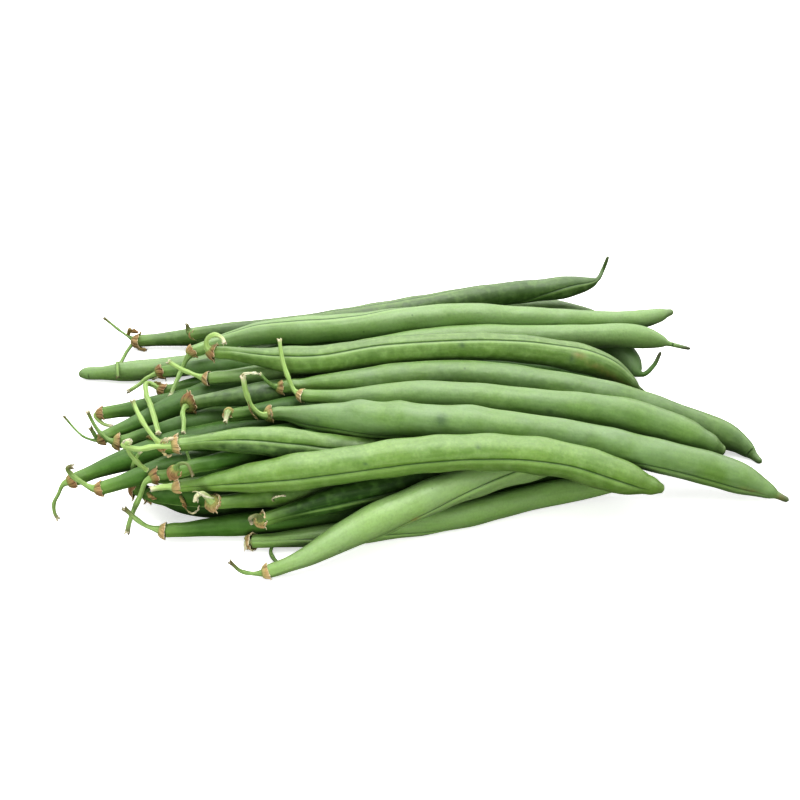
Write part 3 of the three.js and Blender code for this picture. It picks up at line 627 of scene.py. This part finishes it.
# Broken stalks: the course of each in mm, from the end that shows to the one that is tucked in, and then the
# same four values as in STALKS.
BROKEN_STALKS = {
    "stalk_over_tip": ([(-81.2, 16.7, 3.4), (-81.5, 18.6, 5.0), (-81.8, 20.6, 5.6), (-82.3, 23.0, 4.2),
                        (-82.5, 26.2, 1.5), (-82.3, 30.0, 0.7), (-81.7, 33.3, 0.8), (-80.6, 35.9, 1.3)],
                       1.0, 0.3, 0, 0.8),
    "stalk_stub_left": ([(-82.4, -14.0, 11.6), (-81.6, -14.3, 9.7), (-80.9, -14.5, 8.1), (-80.4, -14.4, 7.4)],
                        1.0, 0.1, 0, 1.4),
    "stalk_under_ridge": ([(-64.4, -33.8, 13.9), (-65.8, -35.0, 16.7), (-67.2, -35.8, 20.2),
                           (-67.8, -36.1, 22.4), (-68.0, -35.9, 23.8)], 1.15, 0.8, 0.4, 0),
    "stalk_in_shade": ([(-53.7, -32.1, 11.9), (-54.2, -31.2, 12.8), (-54.9, -30.0, 14.3),
                        (-55.4, -29.0, 15.8), (-55.6, -28.4, 16.9)], 0.8, 0.2, 0, 1.0),
    "stalk_in_front": ([(-31.9, -53.2, 0.8), (-32.7, -51.8, 0.7), (-33.9, -49.9, 0.7), (-34.5, -47.9, 0.7),
                        (-34.2, -46.2, 0.8)], 0.95, 0.1, 0, 0.6),
}
for name, (points, thick, yellow, torn, dried) in BROKEN_STALKS.items():
    build_stalk(name, np.array(points) * MM, thick / 2 * MM, 0, yellow, torn * MM, dried * MM)


# Calyxes
# The dried cup of the flower still grips the neck of each pod: a short wrinkled band of papery skin with a
# ragged lip, tan to reddish brown.
def calyx_material():
    """Dried calyx: papery dead plant skin, dull, tan to reddish brown, darkened in its folds as painted
    shade, and straw-coloured at its torn edge."""
    material, tree, shader = new_material("dried_calyx")
    layer = {n: add(tree, "ShaderNodeAttribute", attribute_name=n).outputs["Fac"] for n in (
        "fold", "edge", "red", "green", "bleached")}
    # Blotches of about a millimetre.
    blotch = add(tree, "ShaderNodeTexNoise", {
        "Vector": add(tree, "ShaderNodeTexCoord").outputs["Object"], "Scale": 900.0,
        "Detail": 3.0}).outputs["Fac"]
    blotches = add(tree, "ShaderNodeMapRange", {
        "Value": blotch, "From Min": 0.42, "From Max": 0.65, "To Max": 0.45})
    # Painted shade: the wrinkles' folds are darkened.
    fold_shade = add(tree, "ShaderNodeMapRange", {
        "Value": layer["fold"], "From Min": 0.4, "From Max": 1.0, "To Max": 0.8})
    edges = add(tree, "ShaderNodeMapRange", {
        "Value": layer["edge"], "From Min": 0.4, "From Max": 1.0, "To Max": 0.8})
    colour = paint("#CDB486")
    for share, code in (
            (layer["red"], "#8F6A4A"), (blotches.outputs[0], "#9C7A4C"), (fold_shade.outputs[0], "#4E341F"),
            (edges.outputs[0], "#EADCB4"), (layer["bleached"], "#EAE6D0"), (layer["green"], "#8FA95A")):
        colour = add(tree, "ShaderNodeMix", {0: share, 6: colour, 7: paint(code)},
                     data_type="RGBA").outputs[2]
    tree.links.new(colour, shader.inputs["Base Color"])
    tree.links.new(add(tree, "ShaderNodeBump", {
        "Height": blotch, "Strength": 0.6, "Distance": 0.15 * MM}).outputs[0], shader.inputs["Normal"])
    shader.inputs["Roughness"].default_value = 0.75
    return material


CALYX_MATERIAL = calyx_material()
# Calyxes and torn bracts keep this far off the floor.
OFF_FLOOR = 0.2 * MM
# How reddish and dark each calyx is from 0 to 1, its size against a usual one, how far its lip reaches in
# mm, and how far it sits back along the stem in mm. The rest are as OTHER_CALYX.
OTHER_CALYX = (0.4, 1.0, 0.9, 1.4)
CALYXES = {
    "bean_01": (0.0, 1.0, 0.3, 1.8), "bean_02": (0.15, 1.15, 0.5, 1.6), "bean_03": (0.1, 1.0, 0.5, 1.5),
    "bean_04": (0.3, 1.0, 0.5, 1.6), "bean_05": (0.7, 1.15, 0.9, 1.2), "bean_06": (0.35, 1.05, 0.6, 1.5),
    "bean_07": (0.2, 0.8, 0.4, 0.6), "bean_08": (0.3, 1.1, 1.1, 1.4), "bean_09": (0.1, 1.05, 0.4, 1.4),
    "bean_10": (0.8, 1.1, 0.9, 2.2), "bean_11": (0.6, 1.05, 0.9, 2.0), "bean_13": (0.5, 0.95, 0.3, 0.6),
    "bean_14": (0.9, 1.45, 1.2, 1.8), "bean_15": (0.0, 0.85, 0.4, 1.6), "bean_16": (0.4, 0.95, 0.4, 1.8),
    "bean_17": (0.2, 1.15, 0.4, 1.6), "bean_18": (0.1, 1.25, 0.7, 2.2), "bean_19": (0.7, 1.05, 0.6, 1.2),
    "bean_20": (0.5, 1.0, 0.5, 1.2), "bean_21": (0.7, 0.95, 0.6, 1.4), "bean_22": (0.7, 1.05, 0.8, 1.4),
    "bean_23": (0.8, 1.0, 0.9, 1.2), "bean_25": (0.2, 1.2, 0.9, 1.5), "bean_26": (0.1, 0.95, 0.8, 1.2),
    "bean_27": (0.0, 1.1, 0.2, 1.4), "bean_28": (0.6, 0.9, 0.8, 1.5), "bean_32": (0.0, 1.2, 0.3, 1.6),
    "bean_33": (0.0, 1.05, 0.3, 1.6),
}


def build_calyx(node, red, size, reach, back):
    """A wrinkled cup round the stem's end, open towards the pod, with an uneven lip."""
    dice = random.Random(node + "calyx")
    middles = course_of(node)[0]
    knots = lengths(middles)
    around = np.linspace(-math.pi, math.pi, 81)[None, :]
    # The cup takes the first six tenths of the rows, and the lip the rest.
    rise = np.linspace(0, 1, 23)[:, None]
    cup, lip = np.clip(rise / 0.6, 0, 1), np.clip(rise / 0.4 - 1.5, 0, 1)
    slant = dice.uniform(-0.7, 0.7)
    crinkle = sum(dice.uniform(0.4, 1) * np.cos(k * (around + slant * rise) + dice.uniform(0, 6))
                  for k in (5, 8, 11, 16, 23)) / 1.7
    uneven = sum(dice.uniform(0.3, 1) * np.cos(k * around + dice.uniform(0, 6)) for k in (1, 2, 3, 7, 13))
    lobes = 1 - np.abs(np.sin(2.5 * around + dice.uniform(0, 3)))
    length = np.clip(reach * (0.4 + 0.6 * lobes + 0.3 * uneven), 0.15, 1.8)
    curl = np.clip(0.25 + 0.3 * uneven + 0.5 * lobes * dice.uniform(0, 1), 0, 1.5)
    # Both in mm: how far along the stem each point is, and how far out from its middle it stands.
    along = -0.2 + 1.5 * cup + length * lip * np.cos(curl * lip)
    stand = size * (0.7 + 1.14 * cup ** 0.42 + 0.06 * uneven * cup)
    stand = stand + length * lip * np.sin(curl * lip) * 0.8 + 0.13 * crinkle * (0.2 + 0.8 * cup)
    at = (knots[STEM_END] - back * MM + along * MM).reshape(-1)
    centre = smooth(knots, middles, at).reshape(*along.shape, 3)
    first, second = facing_frame(centre.mean(1), np.zeros(len(rise)))
    places = centre + stand[..., None] * MM * (
        first[:, None] * np.cos(around)[..., None] + second[:, None] * np.sin(around)[..., None])
    places[..., 2] = np.maximum(places[..., 2], OFF_FLOOR)
    calyx = skin(node + "_calyx", places, {
        # This layer is high in the wrinkles' valleys, where the material paints shade.
        "fold": np.clip(0.45 - 0.5 * crinkle, 0, 1) * (0.8 + 0.2 * red),
        "edge": lip ** 2,
        "red": red,
        "green": 0.6 * (1 - cup) ** 2,
        "bleached": 2 * max(0.3 - red, 0) * lip,
    })
    wall = calyx.modifiers.new("paper thickness", "SOLIDIFY")
    wall.thickness = 0.14 * MM
    wall.offset = -1
    calyx.data.materials.append(CALYX_MATERIAL)
    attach(calyx, "root")
    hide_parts(node)


for bean in BEANS:
    build_calyx(bean, *CALYXES.get(bean, OTHER_CALYX))


# Torn bracts
# Strips of skin and shrivelled bracts, thin as paper, hang where the stems were pulled off and lie caught
# between them. Each row has a strip's course and width in mm, how reddish it is, how bleached, and how far
# it curls across, in degrees.
BRACTS = {
    "flap_tall_stem": ([(-42.5, -14.6, 28.0), (-42.2, -14.8, 28.7), (-40.7, -14.9, 29.1),
                        (-39.4, -14.7, 29.1), (-38.4, -14.2, 28.5)], 0.8, 0.0, 1.0, 60),
    "bract_tall_stem": ([(-41.2, -16.1, 21.4), (-40.9, -16.9, 19.6), (-40.1, -17.4, 18.0),
                         (-38.9, -17.4, 16.4)], 1.0, 0.1, 0.1, 120),
    "flap_long_stem": ([(-68.6, -36.2, 23.6), (-68.6, -36.5, 24.6), (-68.1, -36.6, 25.5),
                        (-67.2, -36.3, 25.7), (-66.5, -36.0, 25.0)], 0.7, 0.0, 1.0, 90),
    "frill_long_stem": ([(-60.6, -33.4, 22.3), (-59.4, -33.6, 23.4), (-58.0, -33.4, 23.6),
                         (-56.8, -33.0, 23.4)], 1.6, 0.1, 0.5, 100),
    "frill_below": ([(-60.2, -34.6, 20.8), (-59.0, -35.0, 19.9), (-57.9, -34.6, 19.6)], 1.2, 0.2, 0.2, 90),
    "split_end": ([(-64.5, 3.4, 9.2), (-64.0, 2.6, 8.4), (-63.6, 1.9, 7.4), (-63.5, 1.4, 6.6)],
                  1.0, 0.0, 0.8, 150),
    "dark_clump_back": ([(-82.0, 38.2, 2.6), (-81.4, 38.2, 4.0), (-80.2, 37.6, 4.6), (-78.8, 37.2, 4.4)],
                        2.2, 1.0, 0.0, 80),
    "skirt_back": ([(-79.4, 36.0, 0.8), (-77.8, 34.6, 0.7), (-76.2, 34.3, 0.6)], 1.8, 0.35, 0.0, 70),
    "curl_pale": ([(-71.6, 15.4, 4.2), (-70.6, 14.4, 5.2), (-69.6, 14.2, 5.9), (-68.9, 14.6, 6.6)],
                  1.0, 0.1, 0.6, 120),
    "clump_behind": ([(-70.4, 13.0, 5.4), (-69.2, 11.4, 5.8), (-68.0, 10.6, 5.6), (-67.2, 9.8, 5.0)],
                     1.9, 0.8, 0.0, 110),
    "brown_bit_left": ([(-66.8, -21.0, 13.9), (-65.8, -22.0, 14.6), (-64.6, -22.8, 14.6),
                        (-63.4, -23.6, 14.0)], 2.0, 1.0, 0.0, 110),
    "brown_bit_right": ([(-64.0, -23.4, 14.0), (-62.8, -24.6, 14.4), (-61.8, -25.4, 14.2)],
                        1.4, 0.4, 0.1, 80),
    "tube_end": ([(-52.0, -45.4, 17.4), (-51.0, -45.9, 18.0), (-49.9, -46.2, 17.4), (-48.6, -45.9, 16.3),
                  (-47.2, -44.9, 15.0)], 1.3, 0.0, 0.9, 170),
    "brown_below_curl": ([(-56.3, -39.3, 10.8), (-55.4, -40.4, 9.6), (-54.8, -41.0, 8.0)],
                         1.6, 0.8, 0.0, 90),
    "pale_below_curl": ([(-54.9, -41.0, 7.9), (-53.5, -41.6, 7.2), (-52.2, -41.6, 8.0),
                         (-51.6, -41.6, 9.6)], 1.1, 0.1, 0.5, 140),
    "brown_under_front": ([(-64.8, -36.4, 9.2), (-63.7, -37.4, 8.7), (-62.4, -37.7, 8.4)],
                          1.7, 0.7, 0.0, 90),
    "hook_in_shade": ([(-33.5, -42.4, 11.7), (-33.7, -43.2, 13.1), (-32.9, -43.6, 14.1),
                       (-31.6, -43.2, 14.1), (-30.6, -42.6, 13.6)], 0.9, 0.0, 0.7, 130),
}
for name, (points, width, red, bleached, curl) in BRACTS.items():
    dice = random.Random(name)
    middles = np.array(points) * MM
    knots = lengths(middles)
    at = np.linspace(0, knots[-1], 25)
    centre = smooth(knots, middles, at)
    first, second = facing_frame(centre, np.linspace(0, dice.uniform(-1.2, 1.2), len(at)))
    across = np.linspace(-1, 1, 11)[None, :]
    share = (at / knots[-1])[:, None]
    # It narrows at both ends, its edges are uneven, and it curls across as part of a tube.
    half_width = width / 2 * MM * (0.35 + 0.65 * np.sin(math.pi * (0.1 + 0.85 * share)))
    half_width = half_width * (1 + 0.25 * np.sin(17 * share + across * 2) * np.sign(across))
    sweep = math.radians(curl)
    bend = sweep * across
    crumple = 0.12 * MM * (np.sin(21 * share + 3 * across) + np.sin(5 * across + 9 * share))
    places = (centre[:, None] + second[:, None] * (half_width * np.sin(bend) / sweep)[..., None]
              + first[:, None] * (half_width * (np.cos(bend) - 1) / sweep + crumple)[..., None])
    places[..., 2] = np.maximum(places[..., 2], OFF_FLOOR)
    bract = skin(name, places, {
        # This layer follows the crumples' valleys, where the material paints shade.
        "fold": np.clip(0.5 + 0.5 * np.sin(5 * across + 9 * share), 0, 1),
        "edge": np.abs(across) ** 3 * 0.8,
        "red": red,
        "green": 0.35 * (1 - share),
        "bleached": bleached * np.clip(3 * share, 0.4, 1),
    })
    wall = bract.modifiers.new("paper thickness", "SOLIDIFY")
    wall.thickness = 0.16 * MM
    bract.data.materials.append(CALYX_MATERIAL)
    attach(bract, "root")
